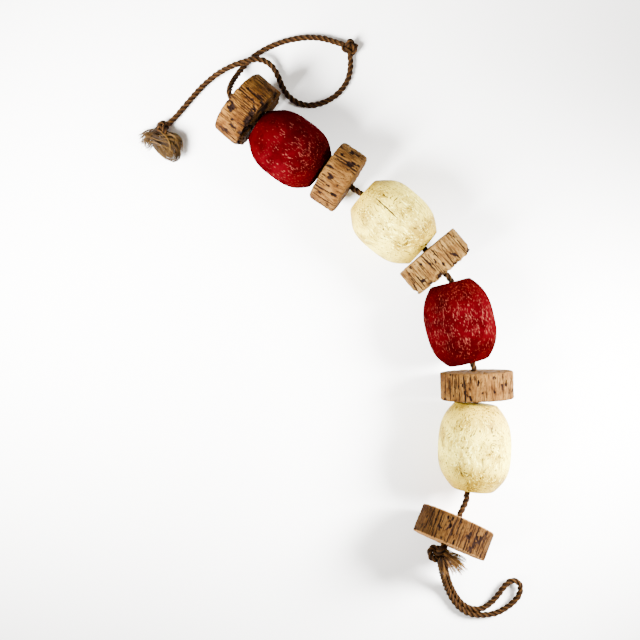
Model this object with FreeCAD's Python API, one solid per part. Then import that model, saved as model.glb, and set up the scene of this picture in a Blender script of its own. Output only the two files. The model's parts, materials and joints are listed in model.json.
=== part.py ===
import FreeCAD, Part

import math
import os

# A string of net floats: five cork discs and four painted wooden barrels, threaded in turn on one
# laid rope, lying on a level surface in an open curve. Millimetres, +Z up, the surface is z = 0.

ROPE_DIAMETER = 6.0
ROPE_RADIUS = ROPE_DIAMETER / 2
BORE_RADIUS = 4.5          # the holes are drilled loose, so each float turns and slides on the rope
CORE_SETBACK = 3.3         # from a bend's centre to the rope stretch beside it
END_SETBACK = 1.0          # the same at the two free ends of the threaded rope
STRING_HEIGHT = 36.5       # the rope's centre line above the surface
STRING_START = FreeCAD.Vector(-134.5, 234.8, STRING_HEIGHT)

BARREL_FACE = 0.56         # a barrel's flat end, as a share of its diameter
SHOULDER_MID = (0.10, 0.78)    # share of length, share of radius: a point on the shoulder's arc
SHOULDER_END = (0.22, 0.925)   # where the shoulder meets the belly
CORK_EDGE = 2.0            # rounding of a cork's two rims

# node, shape, diameter, length, heading and pitch in degrees, rope before it, rope after it,
# and the hole's distance off centre as (left, up) from the hole to the float's middle
FLOATS = [
    ("cork_float_1", "cork", 72.0, 31.0, -40.8, 0.0, 3.0, 1.5, (1.4, -0.5)),
    ("red_float_1", "barrel", 69.0, 79.0, -36.0, 0.0, 1.3, 1.4, (-3.5, -2.0)),
    ("cork_float_2", "cork", 67.5, 31.0, -33.6, 0.0, 1.7, 12.6, (1.4, -2.75)),
    ("cream_float_1", "barrel", 74.0, 83.0, -41.1, 0.0, 3.2, 2.3, (0.0, 0.5)),
    ("cork_float_3", "cork", 73.0, 30.0, -49.4, 0.0, 1.5, 9.7, (0.0, 0.0)),
    ("red_float_2", "barrel", 72.0, 84.5, -75.4, 0.0, 2.4, 8.2, (-2.3, -0.5)),
    ("cork_float_4", "cork", 75.0, 29.0, -87.9, 0.0, 2.1, 3.0, (1.9, 1.0)),
    ("cream_float_2", "barrel", 75.0, 88.0, -95.3, 0.0, 1.5, 13.1, (3.1, 1.0)),
    ("cork_float_5", "cork", 78.0, 30.0, -114.3, 12.5, 19.1, 4.0, (0.0, -3.0)),
]

STOPPER_KNOT_RADIUS = 9.5
STOPPER_KNOT_GAP = 0.6     # between the last cork's face and the knot that stops it
STOPPER_KNOT_SIDE = -4.0   # the knot sits a little to one side of the hole
TIE_KNOT_RADIUS = 7.0

# free cord from the first float to the knot in it: it comes out of the hole, drops to the
# surface and runs round in an open bow
TIE_CORD_1 = [
    (-135.3, 235.5, 36.5), (-138.8, 239.0, 35.6), (-139.7, 246.6, 31.5), (-137.8, 256.6, 22.5),
    (-134.0, 267.2, 11.5), (-128.4, 277.6, 4.4), (-119.6, 288.0, 3.2), (-107.2, 296.8, 3.2),
    (-91.9, 303.9, 3.2), (-75.9, 308.6, 3.2), (-59.4, 310.8, 3.2), (-44.9, 310.2, 3.2),
    (-31.9, 306.8, 3.6), (-19.6, 301.6, 5.8),
]
TIE_KNOT_1 = (-14.0, 299.6, 7.2)
# from that knot back past the first float, over the first cord in a long hump, to the end knot
TIE_CORD_2 = [
    (-13.5, 294.4, 5.8), (-12.6, 285.1, 3.4), (-12.8, 275.4, 3.2), (-15.4, 265.2, 3.2),
    (-21.4, 255.0, 3.2), (-30.9, 246.0, 3.2), (-43.4, 239.6, 3.2), (-56.9, 237.1, 3.2),
    (-70.0, 240.4, 3.2), (-80.4, 248.5, 3.2), (-86.8, 259.6, 3.2), (-91.0, 270.8, 4.4),
    (-97.4, 280.2, 8.2), (-107.4, 285.1, 13.8), (-119.9, 283.6, 18.4), (-136.9, 278.0, 18.4),
    (-150.4, 272.8, 12.0), (-162.4, 265.8, 5.6), (-173.0, 256.8, 3.2), (-183.4, 245.1, 3.2),
    (-193.4, 233.2, 3.2), (-202.8, 222.2, 3.4), (-211.0, 214.8, 5.8),
]
TIE_KNOT_2 = (-214.8, 211.3, 7.2)
TIE_FRAYS = [
    ((-217.9, 208.1, 7.5), (-227.4, 199.1, 9.2), 5.0, 9.0),
    ((-213.9, 205.1, 7.5), (-203.4, 187.6, 10.2), 5.0, 10.0),
]

# the hanging loop: one cord out of the stopper knot, round the eye and back beside itself
LOOP_CORD = [
    (75.7, -238.0, 42.4), (79.4, -251.9, 29.0), (83.4, -265.2, 16.5), (88.1, -278.4, 6.6),
    (94.1, -290.9, 3.4), (103.1, -302.2, 3.3), (114.6, -309.0, 3.3), (128.1, -310.7, 3.3),
    (142.1, -307.4, 4.0), (154.6, -300.4, 5.0), (164.1, -291.9, 6.0), (169.1, -282.4, 6.5),
    (168.1, -272.9, 6.5), (159.1, -269.9, 6.5), (151.6, -276.9, 6.0), (145.6, -286.4, 5.0),
    (138.1, -295.4, 4.0), (127.6, -301.2, 3.3), (116.1, -301.0, 3.3), (107.1, -295.4, 3.3),
    (100.2, -285.7, 3.4), (94.8, -275.0, 6.6), (90.2, -263.2, 16.5), (86.2, -250.0, 29.0),
    (82.5, -236.2, 42.4),
]
STOPPER_FRAYS = [
    ("stopper_fray_1", (79.6, -235.4, 54.0), (89.1, -254.9, 43.5), 3.0, 5.5),
    ("stopper_fray_2", (84.1, -232.9, 50.0), (104.6, -248.4, 43.5), 3.0, 5.0),
]

ARC_SHARE = 0.45           # of the shorter run beside a corner, taken up by the corner's arc


def axes_of(heading, pitch):
    """Unit vectors along the rope, to its left and upwards, for a heading and a pitch in degrees."""
    h = math.radians(heading)
    p = math.radians(pitch)
    along = FreeCAD.Vector(math.cos(h) * math.cos(p), math.sin(h) * math.cos(p), math.sin(p))
    left = FreeCAD.Vector(-math.sin(h), math.cos(h), 0)
    return along, left, along.cross(left)


def thread_floats():
    """Follows the rope from float to float. For each: its row, the bend before it, the bend after it."""
    stretches = []
    start = STRING_START
    for row in FLOATS:
        length, heading, pitch, before, after = row[3:8]
        end = start + axes_of(heading, pitch)[0] * (before + length + after)
        stretches.append((row, start, end))
        start = end
    return stretches


def barrel_outline(radius, length):
    """Half the outline of a barrel: flat end, rounded shoulder, convex belly, shoulder, flat end."""
    half = length / 2
    face = radius * BARREL_FACE

    def at(share, height, side):
        return FreeCAD.Vector(side * (half - share * length), 0, height * radius)

    edge_1 = FreeCAD.Vector(-half, 0, face)
    edge_2 = FreeCAD.Vector(half, 0, face)
    belly = FreeCAD.Vector(0, 0, radius)
    shoulder_1 = Part.Arc(edge_1, at(*SHOULDER_MID, -1), at(*SHOULDER_END, -1))
    middle = Part.Arc(at(*SHOULDER_END, -1), belly, at(*SHOULDER_END, 1))
    shoulder_2 = Part.Arc(at(*SHOULDER_END, 1), at(*SHOULDER_MID, 1), edge_2)
    lines = [
        Part.LineSegment(FreeCAD.Vector(-half, 0, 0), edge_1),
        shoulder_1,
        middle,
        shoulder_2,
        Part.LineSegment(edge_2, FreeCAD.Vector(half, 0, 0)),
        Part.LineSegment(FreeCAD.Vector(half, 0, 0), FreeCAD.Vector(-half, 0, 0)),
    ]
    return Part.Wire([line.toShape() for line in lines])


def barrel(diameter, length):
    """A turned wooden barrel on the X axis."""
    outline = Part.Face(barrel_outline(diameter / 2, length))
    return outline.revolve(FreeCAD.Vector(0, 0, 0), FreeCAD.Vector(1, 0, 0), 360)


def cork(diameter, thickness):
    """A cork disc on the X axis, its two rims rounded."""
    disc = Part.makeCylinder(
        diameter / 2, thickness, FreeCAD.Vector(-thickness / 2, 0, 0), FreeCAD.Vector(1, 0, 0)
    )
    rims = [edge for edge in disc.Edges if isinstance(edge.Curve, Part.Circle)]
    return disc.makeFillet(CORK_EDGE, rims)


def drilled_float(row, start):
    """One float in its place on the rope, with its hole drilled round the rope's line."""
    shape, diameter, length, heading, pitch, before = row[1:7]
    side, up = row[8]
    solid = barrel(diameter, length) if shape == "barrel" else cork(diameter, length)
    hole = Part.makeCylinder(
        BORE_RADIUS, length + 2, FreeCAD.Vector(-length / 2 - 1, -side, -up), FreeCAD.Vector(1, 0, 0)
    )
    solid = solid.cut(hole)
    along, left, upwards = axes_of(heading, pitch)
    middle = start + along * (before + length / 2) + left * side + upwards * up
    solid.Placement = FreeCAD.Placement(middle, FreeCAD.Rotation(along, left, upwards, "XYZ"))
    return solid


def rope_core(start, end, setback_1, setback_2):
    """The straight stretch of rope inside one float, short of the bends at its two ends."""
    along = (end - start).normalize()
    length = (end - start).Length - setback_1 - setback_2
    return Part.makeCylinder(ROPE_RADIUS, length, start + along * setback_1, along)


def rounded_path(points):
    """Straight runs joined by tangent arcs, each arc as large as its two runs allow."""
    edges = []
    radii = []
    last = points[0]
    for a, b, c in zip(points, points[1:], points[2:]):
        back = a - b
        ahead = c - b
        shorter = min(back.Length, ahead.Length)
        back.normalize()
        ahead.normalize()
        half_turn = (math.pi - back.getAngle(ahead)) / 2
        radius = ARC_SHARE * shorter / math.tan(half_turn)
        radii.append(radius)
        inward = (back + ahead).normalize()
        centre = b + inward * (radius / math.cos(half_turn))
        first = b + back * (ARC_SHARE * shorter)
        second = b + ahead * (ARC_SHARE * shorter)
        edges.append(Part.LineSegment(last, first).toShape())
        edges.append(Part.Arc(first, centre - inward * radius, second).toShape())
        last = second
    edges.append(Part.LineSegment(last, points[-1]).toShape())
    return Part.Wire(edges), radii


def cord(name, route):
    """A round cord along a route. Prints its bends, its length and how true its volume is."""
    points = [FreeCAD.Vector(*p) for p in route]
    path, radii = rounded_path(points)
    section = Part.Wire(Part.makeCircle(ROPE_RADIUS, points[0], points[1] - points[0]))
    tube = path.makePipeShell([section], True, True)
    expected = math.pi * ROPE_RADIUS ** 2 * path.Length
    print(name, "length", round(path.Length, 1), "volume ratio", round(tube.Volume / expected, 4))
    print(name, "radii", [round(r, 1) for r in radii])
    return tube


def knot(centre, radius):
    """A pulled-tight knot as a ball."""
    return Part.makeSphere(radius, FreeCAD.Vector(*centre))


def fray(start, end, radius_1, radius_2):
    """A frayed rope end: a cone that widens from the knot to a rounded tip."""
    a = FreeCAD.Vector(*start)
    b = FreeCAD.Vector(*end)
    flare = Part.makeCone(radius_1, radius_2, (b - a).Length, a, b - a)
    tip = Part.makeSphere(radius_2, b)
    return flare.fuse(tip).removeSplitter()


def threaded_rope(stretches):
    """The rope through the floats: a core in each float and a short flexing piece at each bend."""
    pieces = {}
    last = len(stretches)
    for k, (_, start, end) in enumerate(stretches, 1):
        setback_1 = END_SETBACK if k == 1 else CORE_SETBACK
        setback_2 = END_SETBACK if k == last else CORE_SETBACK
        pieces[f"rope_core_{k}"] = rope_core(start, end, setback_1, setback_2)
        if k < last:
            pieces[f"rope_bend_{k}"] = Part.makeSphere(ROPE_RADIUS, end)
    return pieces


def stopper_knot(last_stretch):
    """The knot that keeps the last cork on the rope."""
    row, start, _ = last_stretch
    along, left, _ = axes_of(row[4], row[5])
    reach = row[6] + row[3] + STOPPER_KNOT_GAP + STOPPER_KNOT_RADIUS
    centre = start + along * reach + left * STOPPER_KNOT_SIDE
    print("stopper knot", [round(x, 2) for x in centre])
    return knot(centre, STOPPER_KNOT_RADIUS)


def all_pieces():
    """Every node of the string of floats by name."""
    stretches = thread_floats()
    pieces = {row[0]: drilled_float(row, start) for row, start, _ in stretches}
    pieces.update(threaded_rope(stretches))
    pieces["stopper_knot"] = stopper_knot(stretches[-1])
    for name, start, end, radius_1, radius_2 in STOPPER_FRAYS:
        pieces[name] = fray(start, end, radius_1, radius_2)
    pieces["loop_cord"] = cord("loop_cord", LOOP_CORD)
    pieces["tie_cord_1"] = cord("tie_cord_1", TIE_CORD_1)
    pieces["tie_knot_1"] = knot(TIE_KNOT_1, TIE_KNOT_RADIUS)
    pieces["tie_cord_2"] = cord("tie_cord_2", TIE_CORD_2)
    pieces["tie_knot_2"] = knot(TIE_KNOT_2, TIE_KNOT_RADIUS)
    lobes = [fray(*lobe) for lobe in TIE_FRAYS]
    pieces["tie_fray"] = lobes[0].fuse(lobes[1]).removeSplitter()
    return pieces


os.makedirs("parts", exist_ok=True)
for node, solid in all_pieces().items():
    solid.exportStep(f"parts/{node}.step")
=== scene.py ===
import json
import math

import bpy
import numpy as np
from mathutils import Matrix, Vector

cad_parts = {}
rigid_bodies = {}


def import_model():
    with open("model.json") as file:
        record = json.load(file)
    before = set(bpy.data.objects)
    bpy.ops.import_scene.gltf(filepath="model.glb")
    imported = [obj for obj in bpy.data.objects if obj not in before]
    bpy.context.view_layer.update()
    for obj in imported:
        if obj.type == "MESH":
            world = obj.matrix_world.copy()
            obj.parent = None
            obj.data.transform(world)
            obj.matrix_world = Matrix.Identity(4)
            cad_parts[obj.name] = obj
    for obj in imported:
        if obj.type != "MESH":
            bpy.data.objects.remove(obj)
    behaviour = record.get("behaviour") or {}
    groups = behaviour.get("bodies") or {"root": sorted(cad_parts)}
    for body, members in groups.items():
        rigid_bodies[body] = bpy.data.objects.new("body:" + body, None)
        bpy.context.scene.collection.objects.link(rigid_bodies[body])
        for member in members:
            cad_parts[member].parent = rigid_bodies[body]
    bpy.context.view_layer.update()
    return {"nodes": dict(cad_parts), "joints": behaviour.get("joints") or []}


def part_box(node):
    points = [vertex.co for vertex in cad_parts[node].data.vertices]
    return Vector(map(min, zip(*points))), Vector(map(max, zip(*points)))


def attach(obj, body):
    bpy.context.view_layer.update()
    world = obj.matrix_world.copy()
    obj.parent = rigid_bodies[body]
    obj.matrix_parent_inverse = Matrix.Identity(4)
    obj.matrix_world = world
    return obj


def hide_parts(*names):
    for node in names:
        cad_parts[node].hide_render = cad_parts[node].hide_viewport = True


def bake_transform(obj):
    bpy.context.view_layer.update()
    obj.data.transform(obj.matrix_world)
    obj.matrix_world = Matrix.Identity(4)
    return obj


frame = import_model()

# ---------------------------------------------------------------------------------------------
# Camera. It looks straight down on the string, which lies on a pale tabletop.

CAMERA_HEIGHT = 0.888
CAMERA_OVER = (-0.0454, 0.0076)
CAMERA_LENS = 46.4

camera = bpy.data.objects.new("camera", bpy.data.cameras.new("camera"))
camera.location = (*CAMERA_OVER, CAMERA_HEIGHT)
camera.data.lens = CAMERA_LENS
camera.data.clip_end = 20
bpy.context.scene.collection.objects.link(camera)
bpy.context.scene.camera = camera

# ---------------------------------------------------------------------------------------------
# The rope. One dark brown rope of coir, three strands laid together, a quarter inch thick and
# hairy. Its free ends are the tie line at the top and the hanging loop at the bottom.

ROPE_RADIUS = 0.0033
LAY_LENGTH = 0.0185        # one full turn of a strand round the rope
STRAND_OUT = 0.51          # a strand's centre from the rope's, and its radius, as shares of the
STRAND_RADIUS = 0.49       # rope's radius
ROPE_SIDES = 36
HAIRS = 1500               # loose hairs on a metre of rope
HAIR_RADIUS = 0.00006

joint_place = {j["name"]: np.array(j.get("pos_m", (0, 0, 0)), float) for j in frame["joints"]}


def route_line(points):
    """Points along a smooth line: a quadratic spline that has the route's points as its
    control points and starts and ends on them."""
    curve = bpy.data.curves.new("route", "CURVE")
    curve.dimensions = "3D"
    curve.resolution_u = 14
    spline = curve.splines.new("NURBS")
    spline.points.add(len(points) - 1)
    spline.points.foreach_set("co", np.c_[points, np.ones(len(points))].ravel())
    spline.order_u = 3
    spline.use_endpoint_u = True
    holder = bpy.data.objects.new("route", curve)
    mesh = bpy.data.meshes.new_from_object(holder)
    line = np.empty(len(mesh.vertices) * 3)
    mesh.vertices.foreach_get("co", line)
    bpy.data.objects.remove(holder)
    bpy.data.curves.remove(curve)
    bpy.data.meshes.remove(mesh)
    return line.reshape(-1, 3)


def unit(v):
    """Each vector divided by its own length."""
    return v / np.maximum(np.linalg.norm(v, axis=-1, keepdims=True), 1e-12)


def carried_frames(line, closed=False):
    """Tangent, normal and binormal at each point of a line. The normal is carried from point to
    point, losing only its part along the new tangent; round a closed line the turn left over
    at the end is shared out evenly."""
    if closed:
        tangent = unit(np.roll(line, -1, 0) - np.roll(line, 1, 0))
    else:
        tangent = unit(np.gradient(line, axis=0))
    first = np.cross(tangent[0], (0.0, 0.0, 1.0))
    if np.linalg.norm(first) < 1e-3:
        first = np.cross(tangent[0], (1.0, 0.0, 0.0))
    normal = np.empty_like(line)
    normal[0] = first / np.linalg.norm(first)
    for i in range(1, len(line)):
        n = normal[i - 1] - tangent[i] * (normal[i - 1] @ tangent[i])
        normal[i] = n / np.linalg.norm(n)
    binormal = np.cross(tangent, normal)
    if closed:
        left_over = math.atan2(normal[-1] @ binormal[0], normal[-1] @ normal[0])
        share = -left_over * np.arange(len(line)) / len(line)
        c, s = np.cos(share)[:, None], np.sin(share)[:, None]
        normal, binormal = normal * c + binormal * s, binormal * c - normal * s
    return tangent, normal, binormal


def lengths_along(line):
    """The distance run along a line at each of its points."""
    return np.r_[0.0, np.cumsum(np.linalg.norm(np.diff(line, axis=0), axis=1))]


def evenly(line, step):
    """The same line with points about a step apart."""
    along = lengths_along(line)
    at = np.linspace(0, along[-1], int(along[-1] / step) + 1)
    return np.stack([np.interp(at, along, line[:, k]) for k in range(3)], axis=1)


def laid_rope(line, radius=ROPE_RADIUS, closed=False, turn=0.0):
    """The surface of a three-strand rope as (rings, sides) arrays: its points, and for each the
    place across its strand from -1 to 1, the distance along and the strand's number.
    Round a ring the radius is that of three touching circles, c cos d + sqrt(a a - c c sin d sin d),
    where d is the angle from the nearest strand, and the circles turn once in a lay length."""
    _, normal, binormal = carried_frames(line, closed)
    along = lengths_along(line)
    turns = along / LAY_LENGTH
    if closed:
        whole = np.linalg.norm(line[0] - line[-1]) + along[-1]
        turns = along / whole * max(1, round(whole / LAY_LENGTH * 3) / 3)
    round_it = np.linspace(0, 2 * np.pi, ROPE_SIDES, endpoint=False)
    lay = round_it[None, :] - 2 * np.pi * turns[:, None] - turn
    strand = np.round(lay / (2 * np.pi / 3))
    across = lay - strand * (2 * np.pi / 3)
    out, wide = STRAND_OUT, STRAND_RADIUS
    reach = out * np.cos(across) + np.sqrt(wide ** 2 - (out * np.sin(across)) ** 2)
    swell = 1 + 0.035 * np.sin(along * 410 + 1.3) * np.sin(along * 173)
    reach = radius * reach * swell[:, None]
    points = (line[:, None, :] + reach[..., None] * (
        np.cos(round_it)[None, :, None] * normal[:, None, :]
        + np.sin(round_it)[None, :, None] * binormal[:, None, :]))
    place = np.stack([across / (np.pi / 3), np.broadcast_to(along[:, None], across.shape),
                      np.mod(strand, 3)], axis=-1)
    return points, place


def ring_faces(rings, sides, closed=False):
    """The quads of a tube of rings as rows of four vertex numbers, with outward normals."""
    i = np.arange(rings if closed else rings - 1)[:, None]
    j = np.arange(sides)[None, :]
    n, k = (i + 1) % rings, (j + 1) % sides
    quads = np.stack([i * sides + j, i * sides + k, n * sides + k, n * sides + j], axis=-1)
    return quads.reshape(-1, 4)


def curved_whiskers(starts, heads, bends, lengths, radius, steps=4):
    """Thin fibres: each runs from its start along its heading and bends away with the square of
    the distance. They come back as (fibres, steps, 3) points with three-sided tubes round them."""
    t = np.linspace(0, 1, steps)[None, :, None]
    line = starts[:, None, :] + lengths[:, None, None] * (heads[:, None, :] * t
                                                          + bends[:, None, :] * t ** 2)
    return fibre_tubes(line, radius)


def fibre_tubes(line, radius):
    """Three-sided tubes round many lines at once, tapered to a point-like tip: points of shape
    (fibres * steps * 3, 3), quads of the sides and triangles of the two ends."""
    count, steps = line.shape[:2]
    tangent = unit(np.gradient(line, axis=1))
    side = unit(np.cross(tangent, np.array((0.31, 0.17, 0.94))))
    up = np.cross(tangent, side)
    corner = np.arange(3) * 2 * np.pi / 3
    taper = np.linspace(1.0, 0.25, steps)
    wide = np.reshape(radius, (-1, 1)) * taper[None, :]
    ring = (side[:, :, None, :] * np.cos(corner)[None, None, :, None]
            + up[:, :, None, :] * np.sin(corner)[None, None, :, None])
    points = line[:, :, None, :] + ring * wide[:, :, None, None]
    base = (np.arange(count) * steps * 3)[:, None]
    quads = base[:, :, None] + ring_faces(steps, 3)[None]
    first = base + np.array((2, 1, 0))[None]
    last = base + (steps - 1) * 3 + np.array((0, 1, 2))[None]
    return points.reshape(-1, 3), quads.reshape(-1, 4), np.concatenate([first, last])


def mesh_from(name, points, quads, triangles=(), places=None):
    """A smooth mesh object at the origin from arrays of points, quads and triangles. places, if
    given, is kept on the points as the attribute "place"."""
    quads = np.asarray(quads, np.int32).reshape(-1, 4)
    triangles = np.asarray(triangles, np.int32).reshape(-1, 3)
    mesh = bpy.data.meshes.new(name)
    mesh.vertices.add(len(points))
    mesh.vertices.foreach_set("co", np.ascontiguousarray(points, np.float32).ravel())
    mesh.loops.add(quads.size + triangles.size)
    mesh.loops.foreach_set("vertex_index", np.r_[quads.ravel(), triangles.ravel()])
    mesh.polygons.add(len(quads) + len(triangles))
    sizes = np.r_[np.full(len(quads), 4), np.full(len(triangles), 3)]
    mesh.polygons.foreach_set("loop_start", np.r_[0, np.cumsum(sizes)[:-1]])
    mesh.polygons.foreach_set("use_smooth", np.ones(len(sizes), bool))
    if places is not None:
        held = mesh.attributes.new("place", "FLOAT_VECTOR", "POINT")
        held.data.foreach_set("vector", np.ascontiguousarray(places, np.float32).ravel())
    mesh.update(calc_edges=True)
    mesh.validate()
    piece = bpy.data.objects.new(name, mesh)
    bpy.context.scene.collection.objects.link(piece)
    return piece


def capped_tube(points, place):
    """A tube's points, quads and end triangles, with one more point in the middle of each end."""
    rings, sides = points.shape[:2]
    flat = points.reshape(-1, 3)
    ends = np.stack([points[0].mean(0), points[-1].mean(0)])
    j = np.arange(sides)
    k = (j + 1) % sides
    head = np.stack([np.full(sides, rings * sides), k, j], axis=1)
    tail_ring = (rings - 1) * sides
    tail = np.stack([np.full(sides, rings * sides + 1), tail_ring + j, tail_ring + k], axis=1)
    places = np.concatenate([place.reshape(-1, 3), place[0, :1], place[-1, :1]])
    return np.concatenate([flat, ends]), ring_faces(rings, sides), np.concatenate([head, tail]), places


def with_whiskers(points, quads, triangles, places, line, seed, per_metre=HAIRS):
    """Adds loose hairs to a rope: they start on its surface, lean along it and stand off it."""
    rng = np.random.default_rng(seed)
    along = lengths_along(line)
    count = max(4, int(along[-1] * per_metre))
    at = rng.integers(1, len(line) - 1, count)
    tangent, normal, binormal = carried_frames(line)
    spin = rng.uniform(0, 2 * np.pi, count)[:, None]
    out = normal[at] * np.cos(spin) + binormal[at] * np.sin(spin)
    sideways = np.cross(tangent[at], out)
    starts = line[at] + out * ROPE_RADIUS * 0.74
    lean = rng.choice((-1.0, 1.0), count)[:, None]
    heads = unit(out * 0.45 + tangent[at] * lean + sideways * rng.normal(0, 0.35, (count, 1)))
    bends = out * rng.uniform(-0.1, 0.25, (count, 1)) + sideways * rng.normal(0, 0.3, (count, 1))
    lengths = rng.uniform(0.0010, 0.0028, count)
    hairs, hair_quads, hair_ends = curved_whiskers(starts, heads, bends, lengths, HAIR_RADIUS)
    hairs[:, 2] = np.maximum(hairs[:, 2], 0.0002)
    first = len(points)
    hair_places = np.column_stack([np.full(len(hairs), 0.2), hairs[:, 0] * 3, np.full(len(hairs), 5.0)])
    return (np.concatenate([points, hairs]), np.concatenate([quads, hair_quads + first]),
            np.concatenate([triangles, hair_ends + first]), np.concatenate([places, hair_places]))


class Finish:
    """A material being put together: its Principled node, and the nodes that lead into it."""

    def __init__(self, name, gloss, roughness=0.5):
        self.material = bpy.data.materials.new(name)
        self.material.use_nodes = True
        self.tree = self.material.node_tree
        self.shader = self.tree.nodes["Principled BSDF"]
        self.shader.inputs["Specular IOR Level"].default_value = gloss
        self.shader.inputs["Roughness"].default_value = roughness

    def node(self, kind, **settings):
        made = self.tree.nodes.new(kind)
        for key, value in settings.items():
            setattr(made, key, value)
        return made

    def feed(self, socket, value):
        """Links an output to a socket, or sets the socket to a number, a vector or a colour."""
        if isinstance(value, bpy.types.NodeSocket):
            self.tree.links.new(value, socket)
        elif socket.type == "RGBA":
            socket.default_value = (*value, 1)
        else:
            socket.default_value = value

    def attribute(self, name, output="Vector"):
        return self.node("ShaderNodeAttribute", attribute_name=name).outputs[output]

    def parts(self, vector):
        """The X, Y and Z of a vector."""
        made = self.node("ShaderNodeSeparateXYZ")
        self.feed(made.inputs[0], vector)
        return made.outputs

    def maths(self, operation, *values):
        made = self.node("ShaderNodeMath", operation=operation)
        for socket, value in zip(made.inputs, values):
            self.feed(socket, value)
        return made.outputs[0]

    def scaled(self, vector, scale, offset=(0, 0, 0)):
        """A vector times a scale, plus an offset."""
        made = self.node("ShaderNodeVectorMath", operation="MULTIPLY_ADD")
        for socket, value in zip(made.inputs, (vector, scale, offset)):
            self.feed(socket, value)
        return made.outputs["Vector"]

    def noise(self, vector, scale, detail, roughness=0.5, output="Fac"):
        made = self.node("ShaderNodeTexNoise")
        for key, value in zip(("Vector", "Scale", "Detail", "Roughness"),
                              (vector, scale, detail, roughness)):
            self.feed(made.inputs[key], value)
        return made.outputs[output]

    def ramp(self, value, *stops):
        """A colour for each value, from (position, colour) stops."""
        made = self.node("ShaderNodeValToRGB")
        elements = made.color_ramp.elements
        while len(elements) < len(stops):
            elements.new(0.5)
        for element, (position, colour) in zip(elements, stops):
            element.position = position
            element.color = (*colour, 1.0)
        self.feed(made.inputs[0], value)
        return made.outputs["Color"]

    def mask(self, value, low, high):
        """Black up to the low value, white from the high one."""
        return self.ramp(value, (low, (0, 0, 0)), (high, (1, 1, 1)))

    def mixed(self, share, first, second, blend_type="MIX"):
        """Two colours mixed by a share: 6, 7 and 2 are the numbers of the node's colour sockets."""
        made = self.node("ShaderNodeMix", data_type="RGBA", blend_type=blend_type)
        for number, value in ((0, share), (6, first), (7, second)):
            self.feed(made.inputs[number], value)
        return made.outputs[2]

    def bump(self, height, strength, distance):
        made = self.node("ShaderNodeBump")
        for key, value in (("Strength", strength), ("Distance", distance), ("Height", height)):
            self.feed(made.inputs[key], value)
        self.feed(self.shader.inputs["Normal"], made.outputs["Normal"])

    def colour(self, value):
        self.feed(self.shader.inputs["Base Color"], value)


def coir_material(name, dark, mid, light):
    """Twisted coir: fibres run nearly along the rope, with painted light on the crown of each strand
    and painted shade, nearly black, in the lay between them."""
    finish = Finish(name, 0.04, 0.72)
    place = finish.attribute("place")
    across = finish.parts(place)["X"]
    run = finish.parts(finish.scaled(place, (1.0, 260.0, 7.3)))
    fibre_place = finish.node("ShaderNodeCombineXYZ")
    finish.feed(fibre_place.inputs["X"], finish.maths("MULTIPLY_ADD", across, 5.5, run["Y"]))
    finish.feed(fibre_place.inputs["Y"], finish.maths("MULTIPLY", run["Y"], 1.1))
    finish.feed(fibre_place.inputs["Z"], run["Z"])
    fibres = finish.noise(fibre_place.outputs[0], 1.6, 5.0, 0.65)
    # Painted light and shade: lighter on the crown of each strand, darker towards its edges in the lay.
    lit = finish.maths("MULTIPLY_ADD", finish.maths("MULTIPLY", across, across), -0.48, fibres)
    finish.colour(finish.ramp(lit, (0.05, dark), (0.45, mid), (0.74, light)))
    finish.bump(fibres, 0.55, 0.0004)
    return finish.material


rope_fibre = coir_material("coir_rope", (0.0006, 0.0002, 0.00003), (0.012, 0.0044, 0.0008),
                           (0.110, 0.046, 0.0085))


def rope_piece(name, line, seed, points=None, place=None, whiskers=HAIRS):
    """A finished length of rope along a line, with its ends closed and its hairs on."""
    if points is None:
        points, place = laid_rope(line)
    arrays = capped_tube(points, place)
    points, quads, triangles, places = with_whiskers(*arrays, line, seed, whiskers)
    piece = mesh_from(name, points, quads, triangles, places=places)
    piece.data.materials.append(rope_fibre)
    return piece


# The tie line leaves the first cork's hole, drops to the table and runs round in an open bow to a
# knot; a second length comes back from that knot, crosses over the first and ends in a frayed knot.

TIE_ROUTE_1 = [
    (-0.1353, 0.2355, 0.0365), (-0.1388, 0.2390, 0.0356), (-0.1397, 0.2466, 0.0315),
    (-0.1378, 0.2566, 0.0225), (-0.1340, 0.2672, 0.0115), (-0.1284, 0.2776, 0.0044),
    (-0.1196, 0.2880, 0.0032), (-0.1072, 0.2968, 0.0032), (-0.0919, 0.3039, 0.0032),
    (-0.0759, 0.3086, 0.0032), (-0.0594, 0.3108, 0.0032), (-0.0449, 0.3102, 0.0032),
    (-0.0319, 0.3068, 0.0036), (-0.0196, 0.3016, 0.0058),
]
TIE_ROUTE_2 = [
    (-0.0135, 0.2944, 0.0058), (-0.0126, 0.2851, 0.0034), (-0.0128, 0.2754, 0.0032),
    (-0.0154, 0.2652, 0.0032), (-0.0214, 0.2550, 0.0032), (-0.0309, 0.2460, 0.0032),
    (-0.0434, 0.2396, 0.0032), (-0.0569, 0.2371, 0.0032), (-0.0700, 0.2404, 0.0032),
    (-0.0804, 0.2485, 0.0032), (-0.0868, 0.2596, 0.0032), (-0.0910, 0.2708, 0.0044),
    (-0.0974, 0.2802, 0.0070), (-0.1074, 0.2851, 0.0105), (-0.1199, 0.2836, 0.0132),
    (-0.1369, 0.2780, 0.0132), (-0.1504, 0.2728, 0.0095), (-0.1624, 0.2658, 0.0050),
    (-0.1730, 0.2568, 0.0032), (-0.1834, 0.2451, 0.0032), (-0.1934, 0.2332, 0.0032),
    (-0.2028, 0.2222, 0.0034), (-0.2110, 0.2148, 0.0058),
]

tie_line_1 = route_line(TIE_ROUTE_1)
tie_line_2 = route_line(TIE_ROUTE_2)
tie_cord_1 = rope_piece("tie_cord_1_rope", tie_line_1, 11)
tie_cord_2 = rope_piece("tie_cord_2_rope", tie_line_2, 12)

# The hanging loop is one more length: out of the stopper knot, round the eye and back beside itself.

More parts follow.
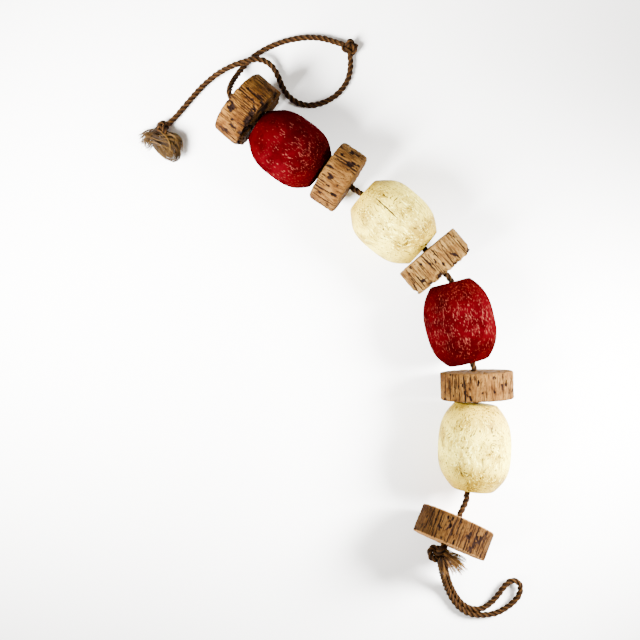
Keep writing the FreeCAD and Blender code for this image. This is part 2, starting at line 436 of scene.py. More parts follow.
LOOP_ROUTE = [
    (0.0766, -0.2377, 0.0424), (0.0804, -0.2517, 0.0303), (0.0845, -0.2648, 0.0178),
    (0.0893, -0.2778, 0.0079), (0.0953, -0.2899, 0.0047), (0.1038, -0.3011, 0.0046),
    (0.1149, -0.3078, 0.0039), (0.1280, -0.3090, 0.0033), (0.1421, -0.3074, 0.0040),
    (0.1546, -0.3004, 0.0050), (0.1641, -0.2919, 0.0060), (0.1691, -0.2824, 0.0065),
    (0.1681, -0.2729, 0.0065), (0.1591, -0.2699, 0.0065), (0.1516, -0.2769, 0.0060),
    (0.1456, -0.2864, 0.0050), (0.1381, -0.2954, 0.0040), (0.1277, -0.3029, 0.0033),
    (0.1158, -0.3022, 0.0033), (0.1064, -0.2965, 0.0033), (0.0990, -0.2867, 0.0034),
    (0.0936, -0.2756, 0.0057), (0.0891, -0.2636, 0.0156), (0.0852, -0.2502, 0.0281),
    (0.0816, -0.2365, 0.0424),
]

loop_line = route_line(LOOP_ROUTE)
loop_cord = rope_piece("loop_cord_rope", loop_line, 13)

# The knots are overhand knots pulled tight. Each is a three-lobed turn of the same rope.

KNOT_POINTS = 150


def overhand_line(centre, size, axis, turn=0.0, flat=1.0):
    """The line of a pulled-tight overhand knot: x = sin t + 2 sin 2t, y = cos t - 2 cos 2t and
    z = -flat sin 3t, times size, with z turned to lie along an axis."""
    t = np.linspace(0, 2 * np.pi, KNOT_POINTS, endpoint=False) + turn
    local = np.stack([np.sin(t) + 2 * np.sin(2 * t), np.cos(t) - 2 * np.cos(2 * t),
                      -flat * np.sin(3 * t)], axis=1) * size
    w = unit(np.array(axis, float))
    u = unit(np.cross(w, (0.3, 0.9, 0.2)))
    return np.array(centre) + local @ np.stack([u, np.cross(w, u), w])


def knot_piece(name, centre, size, axis, radius, turn=0.0, flat=1.0):
    """A knot of the rope as one closed tube."""
    line = overhand_line(centre, size, axis, turn, flat)
    points, place = laid_rope(line, radius, closed=True)
    rings, sides = points.shape[:2]
    piece = mesh_from(name, points.reshape(-1, 3), ring_faces(rings, sides, closed=True),
                      places=place.reshape(-1, 3))
    piece.data.materials.append(rope_fibre)
    return piece


def middle(node):
    """The centre of a frame node's box."""
    low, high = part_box(node)
    return np.array((low + high) / 2)


tie_knot_1 = knot_piece("tie_knot_1_rope", middle("tie_knot_1") + (0, -0.001, 0), 0.0022,
                        (0.25, -0.1, 1), 0.0029)
tie_knot_2 = knot_piece("tie_knot_2_rope", middle("tie_knot_2"), 0.0023, (-0.3, 0.2, 1), 0.0030, 0.7)
stopper_knot = knot_piece("stopper_knot_rope", middle("stopper_knot") + (-0.002, 0.002, 0), 0.0033,
                          (0.35, -0.75, 1), 0.0034, 0.4, 1.2)

# The frays are rope ends combed out to loose golden-brown fibre beyond the knots.

FRAY_FIBRE = 0.0002
LOCK_WIDTH = 1.5           # a combed-out lock against the width and the count in its row
LOCK_FIBRES = 1.9
TUFT = 9                   # fibres that cling together


def lock_fibres(route, thick, count, seed, spread=1.15, start=(0.0, 0.0, 0.0)):
    """The fibres of one lock. The lock follows the smooth line of its route, given in millimetres
    from a start. Each fibre keeps its own place across the lock, drifts outward with the square of
    the distance, twists by a quarter turn and waves; it ends at its own share of the length."""
    rng = np.random.default_rng(seed)
    line = evenly(route_line(np.array(route, float) / 1000 + start), 0.0016)
    _, normal, binormal = carried_frames(line)
    t = np.linspace(0, 1, len(line))
    stop = rng.uniform(0.80, 1.0, count)
    at = stop[:, None] * np.linspace(0, len(line) - 1, 11)[None, :]
    s = at / (len(line) - 1)

    def along(values):
        return np.stack([np.interp(at, np.arange(len(line)), values[:, k]) for k in range(3)], -1)

    tuft = np.arange(count) // TUFT
    radius = thick / 1000 * np.sqrt(rng.uniform(0, 1, tuft[-1] + 1))[tuft, None]
    radius = radius * rng.normal(1, 0.12, (count, 1))
    angle = rng.uniform(0, 2 * np.pi, tuft[-1] + 1)[tuft, None] + rng.normal(0, 0.13, (count, 1)) + 1.6 * s
    out = radius * (0.55 + (spread - 0.55) * s ** 2)
    out = out + 0.0003 * np.sin(rng.uniform(6, 16, (count, 1)) * s + rng.uniform(0, 6.3, (count, 1)))
    places = (along(line) + out[..., None] * (np.cos(angle)[..., None] * along(normal)
                                              + np.sin(angle)[..., None] * along(binormal)))
    places[..., 2] = np.maximum(places[..., 2], 0.0003 + rng.uniform(0, 0.002, (count, 1)))
    return places


def fray_piece(name, locks, start, seed, wisps, material):
    """One fray from its locks of fibres, each lock with its own shade, and a few longer wisps."""
    rng = np.random.default_rng(seed)
    lines, shades, sizes = [], [], []
    for k, (route, thick, count) in enumerate(locks):
        thick, count = thick * LOCK_WIDTH, int(count * LOCK_FIBRES)
        lines.append(lock_fibres(route, thick, count, seed + k, start=start))
        tuft = np.arange(count) // TUFT
        shade = rng.uniform(0.05, 0.55) + rng.normal(0, 0.42, tuft[-1] + 1)[tuft]
        shades.append(np.clip(shade + rng.normal(0, 0.10, count), 0, 1))
        sizes.append(FRAY_FIBRE * rng.uniform(0.6, 1.25, count))
        loose = max(2, wisps // len(locks))
        lines.append(lock_fibres(route, thick * 1.5, loose, seed + 50 + k, 2.4, start))
        shades.append(rng.uniform(0.5, 1.0, loose))
        sizes.append(np.full(loose, FRAY_FIBRE * 0.45))
    line = np.concatenate(lines)
    points, quads, ends = fibre_tubes(line, np.concatenate(sizes))
    shade = np.repeat(np.concatenate(shades), line.shape[1] * 3)
    run = np.tile(np.repeat(np.linspace(0, 1, line.shape[1]), 3), len(line))
    piece = mesh_from(name, points, quads, ends,
                      places=np.column_stack([shade, run, np.zeros(len(run))]))
    piece.data.materials.append(material)
    return piece


def loose_material(name, dark, light, tip):
    """Combed-out coir: each fibre its own brown, darker at the knot than at the tip, with the
    soft gloss of hair."""
    finish = Finish(name, 0.15, 0.55)
    split = finish.parts(finish.attribute("place"))
    shade = finish.maths("MULTIPLY_ADD", split["Y"], 0.35, finish.maths("MULTIPLY", split["X"], 0.65))
    finish.colour(finish.ramp(shade, (0.0, dark), (0.5, light), (1.0, tip)))
    return finish.material


loose_fibre = loose_material("loose_coir", (0.0012, 0.0004, 0.0001), (0.030, 0.0132, 0.0017),
                             (0.115, 0.056, 0.0080))
# The stopper frays' coir is the same coir painted far brighter: painted light, since they lie in
# cork_float_5's shadow.
lit_coir_fibre = loose_material("lit_coir", (0.005, 0.0016, 0.0003), (0.125, 0.052, 0.0085),
                              (0.30, 0.150, 0.030))

tie_fray = fray_piece("tie_fray_fibre", [
    ([(-2, -1, 0), (-10, -1, 2), (-18, -5, 2), (-24, -9, -1)], 2.2, 60),
    ([(-2, -3, 1), (-9, -8, 3), (-16, -12, 2), (-22, -17, -2)], 2.4, 80),
    ([(-2, -4, 0), (-7, -11, 1), (-12, -18, 0), (-16, -21, -3)], 2.2, 70),
    ([(-3, -2, 3), (-9, -5, 4), (-17, -11, 3), (-21, -13, 0)], 1.6, 45),
    ([(0, -3, 1), (6, -10, 3), (16, -18, 3), (20, -30, 2), (12, -35, 3), (3, -24, 5)], 2.3, 80),
    ([(1, -3, 1), (9, -9, 4), (19, -17, 3), (18, -28, 2), (9, -28, 5), (2, -18, 6)], 2.1, 80),
    ([(-3, -5, 2), (-5, -13, 3), (0, -24, 3), (9, -34, 2), (16, -31, 3)], 2.2, 70),
    ([(-2, -4, 1), (-9, -12, 2), (-3, -20, 2), (6, -27, 3), (12, -26, 4)], 2.3, 80),
    ([(-6, -8, 1), (-8, -17, 2), (0, -26, 1), (9, -32, 1)], 2.0, 60),
    ([(-8, -6, 4), (0, -12, 6), (8, -15, 6), (15, -22, 4), (12, -29, 3)], 1.7, 50),
    ([(-14, -9, 3), (-5, -14, 5), (5, -20, 6), (11, -28, 4)], 1.7, 50),
    ([(1, -5, 3), (4, -13, 3), (7, -22, 3), (10, -30, 2)], 2.8, 90),
    ([(-15, -7, 2), (-6, -11, 5), (4, -13, 6), (13, -13, 5), (19, -16, 2)], 2.4, 80),
    ([(-12, -14, 1), (-2, -16, 4), (8, -19, 6), (15, -22, 5), (17, -28, 2)], 2.4, 80),
    ([(1, -3, 2), (8, -6, 3), (15, -9, 3), (20, -14, 1)], 2.6, 90),
    ([(3, -3, 1), (11, -5, 2), (18, -8, 2), (21, -17, 1), (19, -25, 0)], 2.2, 80),
    ([(-3, -3, 1), (-11, -4, 2), (-18, -7, 2), (-19, -14, 1)], 2.6, 90),
    ([(-6, -5, 2), (-12, -9, 3), (-16, -13, 2), (-13, -19, 0)], 2.4, 80),
    ([(-9, -12, 2), (-7, -19, 2), (0, -25, 1), (7, -31, 0)], 2.0, 60),
    ([(-1, -4, 4), (6, -9, 6), (11, -16, 7), (12, -24, 5), (8, -30, 3)], 2.2, 70),
], middle("tie_knot_2"), 300, 130, loose_fibre)
stopper_fray_1 = fray_piece("stopper_fray_1_fibre", [
    ([(-1, -2, 6), (1, -9, 6), (3, -16, 4), (7, -22, 0)], 2.2, 60),
    ([(2, -2, 7), (6, -8, 7), (10, -14, 5), (14, -20, 0)], 2.2, 60),
    ([(4, -1, 6), (9, -6, 6), (14, -11, 4), (19, -17, 0)], 1.8, 50),
    ([(-3, -4, 4), (-2, -11, 3), (1, -17, 2), (4, -21, -2)], 1.6, 45),
    ([(2, 3, 3), (7, 0, 5), (13, -5, 4), (20, -11, 0)], 2.4, 70),
], middle("stopper_knot"), 400, 40, lit_coir_fibre)
stopper_fray_2 = fray_piece("stopper_fray_2_fibre", [
    ([(3, 1, 4), (10, -1, 5), (17, -6, 2), (25, -12, -2)], 2.0, 60),
    ([(4, -1, 4), (11, -5, 5), (18, -10, 2), (26, -18, -3)], 2.2, 60),
    ([(5, -3, 3), (11, -9, 3), (17, -15, 1), (22, -21, -3)], 1.7, 50),
    ([(2, 5, 2), (9, 2, 3), (17, -2, 2), (25, -8, -2)], 2.0, 60),
], middle("stopper_knot"), 500, 40, lit_coir_fibre)

# The first knot leaves a short end of rope sticking out of it.

STUB_STEP = 0.0008
STUB_ROUTE = 1e-3 * np.array([(2, 0, 0), (5, 1, -1), (8.5, 0, -2)])

stub_line = evenly(route_line(STUB_ROUTE + middle("tie_knot_1")), STUB_STEP)
tie_stub = rope_piece("tie_knot_1_stub", stub_line, 14)
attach(tie_stub, "tie_line")
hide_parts("tie_knot_1")

for piece, node_name, body in [
    (tie_cord_1, "tie_cord_1", "tie_line"), (tie_cord_2, "tie_cord_2", "tie_line"),
    (tie_knot_1, "tie_knot_1", "tie_line"), (tie_knot_2, "tie_knot_2", "tie_line"),
    (tie_fray, "tie_fray", "tie_line"), (loop_cord, "loop_cord", "hanging_loop"),
    (stopper_knot, "stopper_knot", "rope_stretch_9"),
    (stopper_fray_1, "stopper_fray_1", "rope_stretch_9"),
    (stopper_fray_2, "stopper_fray_2", "rope_stretch_9"),
]:
    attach(piece, body)
    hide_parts(node_name)

# ---------------------------------------------------------------------------------------------
# The threaded rope. The same rope runs straight through each float's hole and bends in the gaps.
# It is cut inside each hole and at each bend. The lengths at its two ends, and those beside a bend
# that turns less than SLIGHT, where two floats nearly touch and it hardly bends, go stiffly with
# their own stretch; the others are only set in place where they lie.

BENDS = 8                  # one in each gap between floats
BEND_REACH = 0.008         # a length's second end lies this far along the rope from its bend
CORNER = 0.005             # the spline's own points stand this far from a bend
RING_STEP = 0.0009
THREADED_HAIRS = 900       # on a metre of it, fewer than on the free ends
SLIGHT = 11.0              # degrees: a length that turns less than this stays stiff
BEND_FIRST = 7             # the bend whose lower length lists the bend first in its pair of ends

bend_places = [joint_place[f"rope_bend_{k}_sideways"] for k in range(1, BENDS + 1)]
string_places = [joint_place["tie_line_swing"], *bend_places, joint_place["loop_swing"]]


def threaded_route(places):
    """The control points of the threaded rope: its ends, and three at each bend."""
    points = [places[0]]
    for before, here, after in zip(places, places[1:], places[2:]):
        points += [here + unit(before - here) * CORNER, here, here + unit(after - here) * CORNER]
    return np.array([*points, places[-1]])


thread_line = evenly(route_line(threaded_route(string_places)), RING_STEP)
thread_points, thread_place = laid_rope(thread_line)


def travel(bend, stretch):
    """The widest angle, in degrees, of the joint between a bend and a stretch of the rope."""
    joint = next(j for j in frame["joints"] if {j["parent"], j["child"]} == {bend, stretch})
    return max(abs(limit) for limit in joint["range_deg"])


def nearest(place):
    """The number of the rope's ring that is nearest to a place."""
    return int(np.linalg.norm(thread_line - place, axis=1).argmin())


for k in range(1, BENDS + 2):
    start, end = string_places[k - 1], string_places[k]
    cut = nearest((start + end) / 2)
    for part, first, last in (("upper", nearest(start), cut), ("lower", cut, nearest(end))):
        rings = slice(first, last + 1)
        piece = rope_piece(f"rope_{k}_{part}", thread_line[rings], 50 + 2 * k + (part == "lower"),
                           thread_points[rings], thread_place[rings], THREADED_HAIRS)
        stretch = f"rope_stretch_{k}"
        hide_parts(f"rope_core_{k}")
        if part == "lower" and k <= BENDS:
            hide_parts(f"rope_bend_{k}")
        number, at, far = (k - 1, start, end) if part == "upper" else (k, end, start)
        bend = f"rope_bend_{number}"
        if not 1 <= number <= BENDS or travel(bend, stretch) < SLIGHT:
            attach(piece, stretch)
            continue
        ends = [(bend, tuple(at)), (stretch, tuple(at + unit(far - at) * BEND_REACH))]
        if part == "lower" and number != BEND_FIRST:
            ends.reverse()
        (first_body, first_at), (second_body, second_at) = ends
        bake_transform(piece)
        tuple(first_at)
        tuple(second_at)

# ---------------------------------------------------------------------------------------------
# The barrel floats. Each is turned from one block of softwood, drilled through and brush-painted,
# two in red and two in cream. The grain shows through the worn paint as pale or dark dashes.

HOLE_RADIUS = 0.0045
EASED = 0.0006             # how far the edges of holes and faces are rubbed back
BARREL_SIDES = 320
BARREL_STEPS = 132
END_STEPS = 14
BORE_STEPS = 12


def lattice_noise(points, cell, seed):
    """Smooth noise from 0 to 1: random values on a lattice of cubes, blended inside each cube by
    3 t t - 2 t t t along each of its axes."""
    table = np.random.default_rng(seed).random((32, 32, 32))
    p = points / cell
    low = np.floor(p).astype(int)
    t = p - low
    t = t * t * (3 - 2 * t)
    total = 0
    for corner in range(8):
        step = np.array((corner & 1, corner >> 1 & 1, corner >> 2 & 1))
        weight = np.prod(np.where(step, t, 1 - t), axis=-1)
        i = (low + step) % 32
        total = total + weight * table[i[..., 0], i[..., 1], i[..., 2]]
    return total


def rough_noise(points, cell, seed, octaves=4):
    """Lattice noise at a cell size and at half of it again and again, each half as strong."""
    total = sum(lattice_noise(points, cell / 2 ** o, seed + o) / 2 ** o for o in range(octaves))
    return total / sum(0.5 ** o for o in range(octaves))


def float_axes(name):
    """A float's axis along the rope, its left and its up as rows, from its turning joint."""
    along = np.array(next(j["axis"] for j in frame["joints"] if j["name"] == name + "_turn"), float)
    left = unit(np.cross((0.0, 0.0, 1.0), along))
    return np.stack([unit(along), left, np.cross(unit(along), left)])


def float_centre(name, turn_axes):
    """A float's middle, and its size along its own axes, from its frame node's points."""
    mesh = frame["nodes"][name].data
    co = np.empty(len(mesh.vertices) * 3)
    mesh.vertices.foreach_get("co", co)
    local = co.reshape(-1, 3) @ turn_axes.T
    return ((local.min(0) + local.max(0)) / 2) @ turn_axes, np.ptp(local, axis=0)


def revolved(name, outline, axes, centre, hole, displaced, places_from, around):
    """A drilled body of revolution as one closed surface. The outline is a closed loop of
    (along, radius) points, outer side first; radius is measured from the body's middle on the
    outside and blended to the hole's own middle inside."""
    turn = np.linspace(0, 2 * np.pi, around, endpoint=False)
    along, radius, inner = outline.T
    ring = np.stack([np.cos(turn), np.sin(turn)], axis=1)
    local = np.empty((len(outline), around, 3))
    local[..., 0] = along[:, None]
    local[..., 1:] = radius[:, None, None] * ring[None] + inner[:, None, None] * hole[None, None]
    local, shade = displaced(local, inner, turn)
    points = centre + local.reshape(-1, 3) @ axes
    places = places_from(local, shade).reshape(-1, 3)
    return mesh_from(name, points, ring_faces(len(outline), around, closed=True), places=places)


def barrel_outline(length, radius, lean, near_face, far_face):
    """The closed outline of a drilled barrel. The outer radius is the softer of a straight
    shoulder, face + 2.05 s, and a full belly, 1 - 0.42 |2s - 1| cubed, for s the share of the
    length from the nearer end; lean moves the belly along, and each end has its own face."""
    s = np.linspace(0, 1, BARREL_STEPS)
    even = s ** (1 + lean)
    edge = np.minimum(s, 1 - s)
    shoulder = np.where(s < 0.5, near_face, far_face) + 2.05 * edge
    belly = 1 - 0.42 * np.abs(2 * even - 1) ** 3
    blend = 34.0
    share = -np.log(np.exp(-blend * shoulder) + np.exp(-blend * belly)) / blend
    share = share / share.max()
    x = (s - 0.5) * length
    outer = np.column_stack([x, share * radius, np.zeros(len(s))])
    rim = 0.0011
    outer[0, 0] += 0.25 * rim
    outer[-1, 0] -= 0.25 * rim
    face = np.linspace(share[0] * radius - rim * 0.8, HOLE_RADIUS + EASED, END_STEPS)
    inner_share = np.linspace(0, 1, END_STEPS) ** 1.5
    right = np.column_stack([np.full(END_STEPS, length / 2), face, inner_share])
    hole = np.column_stack([np.linspace(length / 2 - EASED, -length / 2 + EASED, BORE_STEPS),
                            np.full(BORE_STEPS, HOLE_RADIUS), np.ones(BORE_STEPS)])
    left = right[::-1] * (-1, 1, 1)
    return np.concatenate([outer, right, hole, left])


def painted_wood(name, base, deep, worn, grime, wear, slope, grime_wear, rings_at, gloss, crack=None):
    """Brush paint on turned wood. "place" is the float's own frame in metres, X along its axis.
    Growth rings are bands of distance from a pith line beside the float, pores are noise drawn out
    along the axis: where both are high, more of them towards one end by slope, the paint is worn
    through, and grime lies in a second set. A crack is a thin line y = y0 + m x on the top side,
    which wavers with noise and tapers at both ends."""
    finish = Finish(name, gloss)
    maths, mixed, scaled = finish.maths, finish.mixed, finish.scaled

    def noise(vector, scale, detail, output="Fac"):
        return finish.noise(vector, scale, detail, 0.6, output)

    place = finish.attribute("place")
    parts = finish.parts(place)
    swayed = scaled(noise(place, 55.0, 3.0, "Color"), (0.010, 0.010, 0.010), place)
    pores = noise(scaled(swayed, (0.17, 1.0, 1.0)), 1000.0, 1.5)
    shifted = scaled(place, (1, 1, 1), (0.7, 2.9, 1.1))
    whorl = scaled(noise(shifted, 42.0, 1.0, "Color"), (0.034, 0.034, 0.034), place)
    fine = noise(scaled(whorl, (0.20, 1, 1), (3.1, 1.7, 5.3)), 800.0, 3.0)
    patches = noise(place, 48.0, 4.0)
    broad = noise(scaled(place, (1, 1, 1), (1.2, 0.4, 2.2)), 26.0, 2.0)
    rings = finish.node("ShaderNodeTexWave", wave_type="RINGS", rings_direction="X")
    for key, value in (("Scale", 135.0), ("Distortion", 2.4), ("Detail", 2.0), ("Detail Scale", 0.8),
                       ("Vector", scaled(swayed, (1, 1, 1), rings_at))):
        finish.feed(rings.inputs[key], value)
    rings = rings.outputs["Fac"]
    height = maths("MULTIPLY_ADD", rings, 0.10, pores)
    height = maths("MULTIPLY_ADD", broad, 0.22, height)
    height = maths("MULTIPLY_ADD", parts["X"], slope, height)
    bare = finish.mask(height, wear, wear + 0.05)
    colour = mixed(bare, finish.ramp(patches, (0.38, deep), (0.56, base)), worn)
    dirt = finish.mask(maths("MULTIPLY_ADD", rings, -0.07, fine), grime_wear, grime_wear + 0.06)
    colour = mixed(dirt, colour, grime)
    # Painted shade: towards both ends of the float the colour is multiplied by a darker copy of the deep
    # paint colour.
    ends = finish.node("ShaderNodeMapRange")
    far = maths("MULTIPLY_ADD", patches, 0.010, maths("ABSOLUTE", parts["X"]))
    for key, value in (("From Min", 0.014), ("From Max", 0.044), ("To Max", 0.85), ("Value", far)):
        finish.feed(ends.inputs[key], value)
    end_shade = tuple(float(v) for v in 0.12 + 0.88 * np.array(deep) / max(base))
    colour = mixed(ends.outputs["Result"], colour, end_shade, "MULTIPLY")
    relief = maths("MULTIPLY_ADD", bare, -0.7, pores)
    if crack:
        from_x, to_x, y0, m, wide = crack
        off = maths("MULTIPLY_ADD", parts["X"], -m, parts["Y"])
        off = maths("MULTIPLY_ADD", noise(place, 300.0, 3.0), 0.0016, off)
        off = maths("ABSOLUTE", maths("SUBTRACT", off, y0 + 0.0008))
        middle_x, half_x = (from_x + to_x) / 2, (to_x - from_x) / 2
        run = maths("ABSOLUTE", maths("SUBTRACT", parts["X"], middle_x))
        run = maths("SUBTRACT", 1.0, maths("DIVIDE", run, half_x))
        run = maths("MULTIPLY", maths("MINIMUM", maths("MAXIMUM", run, 0.0), 0.45), wide / 0.45)
        split = maths("LESS_THAN", off, run)
        split = maths("MULTIPLY", split, maths("GREATER_THAN", parts["Z"], 0.0))
        colour = mixed(split, colour, (0.02, 0.009, 0.004))
        relief = maths("MULTIPLY_ADD", split, -1.2, relief)
    finish.colour(colour)
    finish.bump(relief, 0.5, 0.0004)
    rough = finish.node("ShaderNodeMapRange")
    for key, value in (("To Min", 0.34), ("To Max", 0.62), ("Value", patches)):
        finish.feed(rough.inputs[key], value)
    finish.feed(finish.shader.inputs["Roughness"], rough.outputs["Result"])
    return finish.material


RED = ((0.026, 0.0002, 0.0010), (0.0135, 0.0001, 0.0005), (0.075, 0.016, 0.011), (0.004, 0.0002, 0.0003))
CREAM = ((0.60, 0.49, 0.062), (0.27, 0.185, 0.012), (0.80, 0.74, 0.16), (0.040, 0.022, 0.002))
red_paint_1 = painted_wood("red_paint_smooth", *RED, 0.80, 1.3, 0.66, (0.0, -0.016, 0.062), 0.0)
red_paint_2 = painted_wood("red_paint_worn", *RED, 0.765, -0.3, 0.66, (0.0, 0.006, 0.055), 0.0)
cream_paint_1 = painted_wood("cream_paint_cracked", *CREAM, 0.77, 0.0, 0.530, (0.0, 0.016, 0.060), 0.03,
                             (-0.030, 0.003, 0.0, -0.05, 0.0007))
cream_paint_2 = painted_wood("cream_paint_worn", *CREAM, 0.77, 0.0, 0.525, (0.0, 0.004, 0.058), 0.03)

for name, paint, slot, seed, lean, faces, tilt in [
    ("red_float_1", red_paint_1, "red_paint", 5, 0.06, (0.57, 0.63), 0.0),
    ("cream_float_1", cream_paint_1, "cream_paint", 6, -0.03, (0.55, 0.645), 0.0),
    ("red_float_2", red_paint_2, "red_paint", 7, 0.04, (0.64, 0.70), -0.02),
    ("cream_float_2", cream_paint_2, "cream_paint", 8, 0.03, (0.65, 0.62), 0.055),
]:
    axes = float_axes(name)
    centre, size = float_centre(name, axes)
    hole_middle = (joint_place[name + "_turn"] - centre) @ axes.T

    def hand_turned(local, inner, turn, seed=seed, tilt=tilt):
        """Uneven turning: low waves of noise push the outer surface in by up to a millimetre, and
        the body leans on its rope by a small tilt, y + tilt x."""
        dip = rough_noise(local * (0.6, 1, 1) + seed, 0.022, seed, 3) - 0.5
        shrink = 1 - np.clip(0.0011 * (dip + 0.35), 0, 1) / np.maximum(
            np.linalg.norm(local[..., 1:], axis=-1), 0.01) * (1 - inner[:, None])
        local = local.copy()
        local[..., 1:] *= shrink[..., None]
        local[..., 1] += tilt * local[..., 0] * (1 - inner[:, None])
        return local, None

    piece = revolved(name + "_turned", barrel_outline(size[0], size[1] / 2, lean, *faces), axes, centre,
                     hole_middle[1:], hand_turned, lambda local, shade: local, BARREL_SIDES)
    piece.data.materials.append(paint)
    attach(piece, name)
    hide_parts(name)

# ---------------------------------------------------------------------------------------------
# The cork floats. Discs cut from thick cork bark with their holes along the grain's pores: the rim
# shows dark splits and lenticels that run from face to face, and the faces are dry and pitted.

CORK_SIDES = 520
RIM_STEPS = 58
CORNER_STEPS = 7
CORK_END_STEPS = 44
CORK_BORE_STEPS = 10


def cork_outline(thickness, radius, edge):
    """The closed outline of a drilled disc with both rims rounded by quarter circles."""
    half = thickness / 2
    quarter = np.linspace(0, np.pi / 2, CORNER_STEPS)[1:]
    flat = np.linspace(-half + edge, half - edge, RIM_STEPS)
    rim = np.column_stack([flat, np.full(RIM_STEPS, radius), np.zeros(RIM_STEPS)])
    corner = np.column_stack([half - edge + edge * np.sin(quarter),
                              radius - edge + edge * np.cos(quarter), np.zeros(len(quarter))])
    face_radius = np.linspace(radius - edge - EASED, HOLE_RADIUS + EASED, CORK_END_STEPS)
    face = np.column_stack([np.full(CORK_END_STEPS, half), face_radius,
                            np.linspace(0, 1, CORK_END_STEPS) ** 2])
    hole = np.column_stack([np.linspace(half - EASED, -half + EASED, CORK_BORE_STEPS),
                            np.full(CORK_BORE_STEPS, HOLE_RADIUS), np.ones(CORK_BORE_STEPS)])
    mirrored = np.concatenate([corner, face])[::-1] * (-1, 1, 1)
    return np.concatenate([rim, corner, face, hole, mirrored])


def weathered(local, inner, turn, seed, radius, half, splits, ragged):
    """Bark's own wear. Splits are narrow troughs along the axis, each a bell of its own width and
    depth round the rim that fades at its two ends; pits are round bells; the whole surface is
    lowered by rough noise, and the ragged face by more. The second result is painted shade from
    0 to 1: darker the deeper the splits and pits, and in the chips of the ragged face."""
    rng = np.random.default_rng(seed)
    x = local[..., 0]
    out = np.linalg.norm(local[..., 1:], axis=-1)
    depth = np.zeros(x.shape)
    for scale, count in ((1.0, splits), (0.5, splits * 4)):
        at = rng.uniform(0, 2 * np.pi, count)
        wide = rng.uniform(0.36, 0.75, count) * 0.001 * (0.6 + 0.4 * scale)
        deep = rng.uniform(0.6, 1.6, count) * 0.001 * scale
        middle_x = rng.uniform(-half, half, count)
        long = rng.uniform(0.5, 1.2, count) ** 2 * half * (0.25 + 0.75 * scale)
        sway = rng.normal(0, 0.014, count)
        for a, w, d, m, l, s in zip(at, wide, deep, middle_x, long, sway):
            wander = a + s * (x - m) / half + 0.004 * np.sin(x * 1300 + a * 7)
            gap = (np.mod(turn[None, :] - wander + np.pi, 2 * np.pi) - np.pi) * out
            ends = np.clip(1.25 - np.abs(x - m) / l, 0, 1)
            depth = np.maximum(depth, d * np.exp(-(gap / w) ** 2) * ends ** 0.5 * (out > radius * 0.84))
    pits = rough_noise(local * (0.6, 1, 1) + seed, 0.0042, seed + 3, 3)
    depth = np.maximum(depth, 0.0022 * np.clip(pits - 0.64, 0, 1) * 5)
    worn_face = np.clip((x / half - 0.55) * 3, 0, 1) if ragged > 0 else 0
    chips = rough_noise(local + seed * 0.5, 0.009, seed + 9, 4)
    lower = 0.0007 * rough_noise(local, 0.003, seed + 5, 3)
    lower = lower + ragged * worn_face * np.clip(chips - 0.42, 0, 1) * 5.0
    outer = 1 - inner[:, None]
    inward = (depth + lower) * outer
    on_face = np.clip((np.abs(x) / half - 0.93) * 14, 0, 1)
    scale = 1 - inward * (1 - 0.75 * on_face) / np.maximum(out, 0.01)
    moved = local.copy()
    moved[..., 1:] *= scale[..., None]
    moved[..., 0] -= np.sign(x) * inward * on_face
    # Painted shade, from 0 to 1: darker the deeper the splits and pits, and in the chips of the ragged
    # face.
    shade = np.clip(depth / 0.0011, 0, 1) + 0.9 * worn_face * np.clip(chips - 0.45, 0, 1) * 4
    return moved, np.clip(shade, 0, 1)


def cork_material(name, light, mid, dark, face, lined=0.60, stain=0.0):
    """Bare cork: a fine mottle of cells, thin dark lines along the axis and a stain that deepens
    towards one face, with painted shade, nearly black, in the splits, pits and chips. "place" is the
    disc's own frame in metres, and "depth" that painted shade from 0 to 1, darker the deeper a point
    lies below the surface."""
    finish = Finish(name, 0.03, 0.86)
    maths, mixed = finish.maths, finish.mixed
    place = finish.attribute("place")
    drawn = finish.scaled(place, (0.30, 1.0, 1.0))
    mottle = finish.noise(drawn, 420.0, 5.0, 0.68)
    broad = finish.noise(place, 60.0, 3.0)
    both = maths("MULTIPLY_ADD", broad, 0.5, maths("MULTIPLY", mottle, 0.5))
    stained = maths("MULTIPLY_ADD", finish.parts(place)["X"], -stain, both)
    colour = finish.ramp(stained, (0.36, dark), (0.47, mid), (0.60, light))
    lines = finish.noise(finish.scaled(place, (0.07, 1.0, 1.0)), 900.0, 2.5)
    patchy = maths("MULTIPLY_ADD", broad, 0.30, maths("SUBTRACT", lines, 0.15))
    line_at = finish.mask(patchy, lined, lined + 0.05)
    colour = mixed(line_at, colour, tuple(0.35 * np.array(dark)))
    speck_at = finish.mask(finish.noise(drawn, 800.0, 2.0), 0.62, 0.68)
    colour = mixed(speck_at, colour, tuple(0.25 * np.array(dark)))
    face_tone = finish.ramp(both, (0.34, tuple(0.6 * np.array(face))), (0.58, face))
    colour = mixed(finish.attribute("face", "Fac"), colour, face_tone)
    # Painted shade: nearly black where the splits, pits and chips go deep.
    painted_split_shade = finish.mask(finish.attribute("depth", "Fac"), 0.08, 0.50)
    finish.colour(mixed(painted_split_shade, colour, (0.006, 0.0025, 0.0015)))
    finish.bump(maths("MULTIPLY_ADD", line_at, -1.4, mottle), 0.7, 0.0005)
    return finish.material


orange_cork = cork_material("orange_cork", (0.105, 0.046, 0.0080), (0.048, 0.0175, 0.0027),
                            (0.013, 0.0036, 0.0005), (0.032, 0.013, 0.003), 0.60, 2.0)
brown_cork = cork_material("brown_cork", (0.104, 0.050, 0.0115), (0.055, 0.0222, 0.0043),
                           (0.016, 0.0050, 0.0009), (0.075, 0.034, 0.008), 0.61)
tan_cork = cork_material("tan_cork", (0.150, 0.084, 0.0215), (0.080, 0.0375, 0.0082),
                         (0.024, 0.0080, 0.0016), (0.15, 0.078, 0.022), 0.62)
russet_cork = cork_material("russet_cork", (0.052, 0.0238, 0.0056), (0.029, 0.0112, 0.0022),
                            (0.012, 0.0034, 0.0006), (0.26, 0.125, 0.036), 0.62)

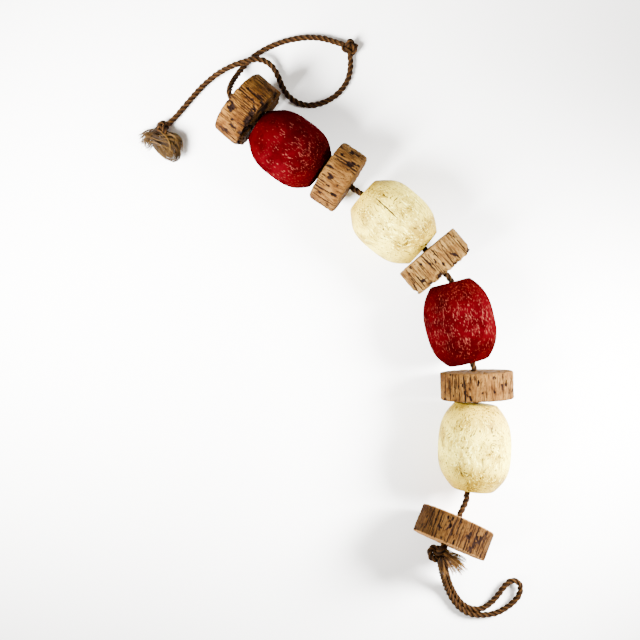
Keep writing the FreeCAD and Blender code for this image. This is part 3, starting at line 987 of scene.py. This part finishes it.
for name, bark, seed, splits, ragged, edge in [
    ("cork_float_1", orange_cork, 21, 34, 0.0034, 0.0026),
    ("cork_float_2", brown_cork, 22, 24, 0.0, 0.0042),
    ("cork_float_3", tan_cork, 23, 30, 0.0034, 0.0016),
    ("cork_float_4", brown_cork, 24, 26, 0.0, 0.0022),
    ("cork_float_5", russet_cork, 25, 34, 0.0, 0.0020),
]:
    axes = float_axes(name)
    centre, size = float_centre(name, axes)
    hole_middle = (joint_place[name + "_turn"] - centre) @ axes.T
    half, radius = size[0] / 2, size[1] / 2
    kept = {}

    def worn(local, inner, turn, seed=seed, radius=radius, half=half, splits=splits, ragged=ragged):
        return weathered(local, inner, turn, seed, radius, half, splits, ragged)

    def keep(local, shade, kept=kept, half=half):
        """Keeps the painted shade of the splits, pits and chips as "depth", and how far a point
        lies on a flat face, beside the disc's own frame.
        """
        kept["depth"] = shade
        kept["face"] = np.clip((np.abs(local[..., 0]) - half + 0.0016) / 0.0008, 0, 1)
        return local

    piece = revolved(name + "_bark", cork_outline(size[0], radius, edge), axes, centre, hole_middle[1:],
                     worn, keep, CORK_SIDES)
    for label, values in kept.items():
        held = piece.data.attributes.new(label, "FLOAT", "POINT")
        held.data.foreach_set("value", values.astype(np.float32).ravel())
    piece.data.materials.append(bark)
    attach(piece, name)
    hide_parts(name)

# ---------------------------------------------------------------------------------------------
# The table and the light. A pale matt tabletop, one big window low on the right, one behind the
# lower left, and a bright room above.

TABLE_HALF = 6.0


def table_top():
    """A wide pale surface at the height that the string lies on."""
    mesh = bpy.data.meshes.new("table")
    s = TABLE_HALF
    mesh.from_pydata([(-s, -s, 0), (s, -s, 0), (s, s, 0), (-s, s, 0)], [], [(0, 1, 2, 3)])
    table = bpy.data.objects.new("table", mesh)
    bpy.context.scene.collection.objects.link(table)
    finish = Finish("table_white", 0.1, 0.9)
    finish.colour((0.95, 0.94, 0.92))
    mesh.materials.append(finish.material)


def window(name, place, target, size, power, spread):
    """A square soft white light that faces a target."""
    light = bpy.data.lights.new(name, "AREA")
    light.shape = "SQUARE"
    light.size = size
    light.energy = power
    light.spread = math.radians(spread)
    holder = bpy.data.objects.new(name, light)
    holder.location = place
    aim = np.array(target) - np.array(place)
    holder.rotation_mode = "QUATERNION"
    holder.rotation_quaternion = Vector(aim).to_track_quat("-Z", "Y")
    bpy.context.scene.collection.objects.link(holder)


table_top()
window("window_left", (-0.75, -0.25, 0.62), (-0.16, 0.24, 0), 0.50, 26, 64)
window("window_right", (0.62, 0.06, 0.42), (0.07, -0.17, 0), 0.30, 15, 66)
room = bpy.data.worlds.new("room")
room.use_nodes = True
glow = room.node_tree.nodes["Background"]
glow.inputs["Color"].default_value = (1.0, 0.90, 0.79, 1)
glow.inputs["Strength"].default_value = 0.55
bpy.context.scene.world = room
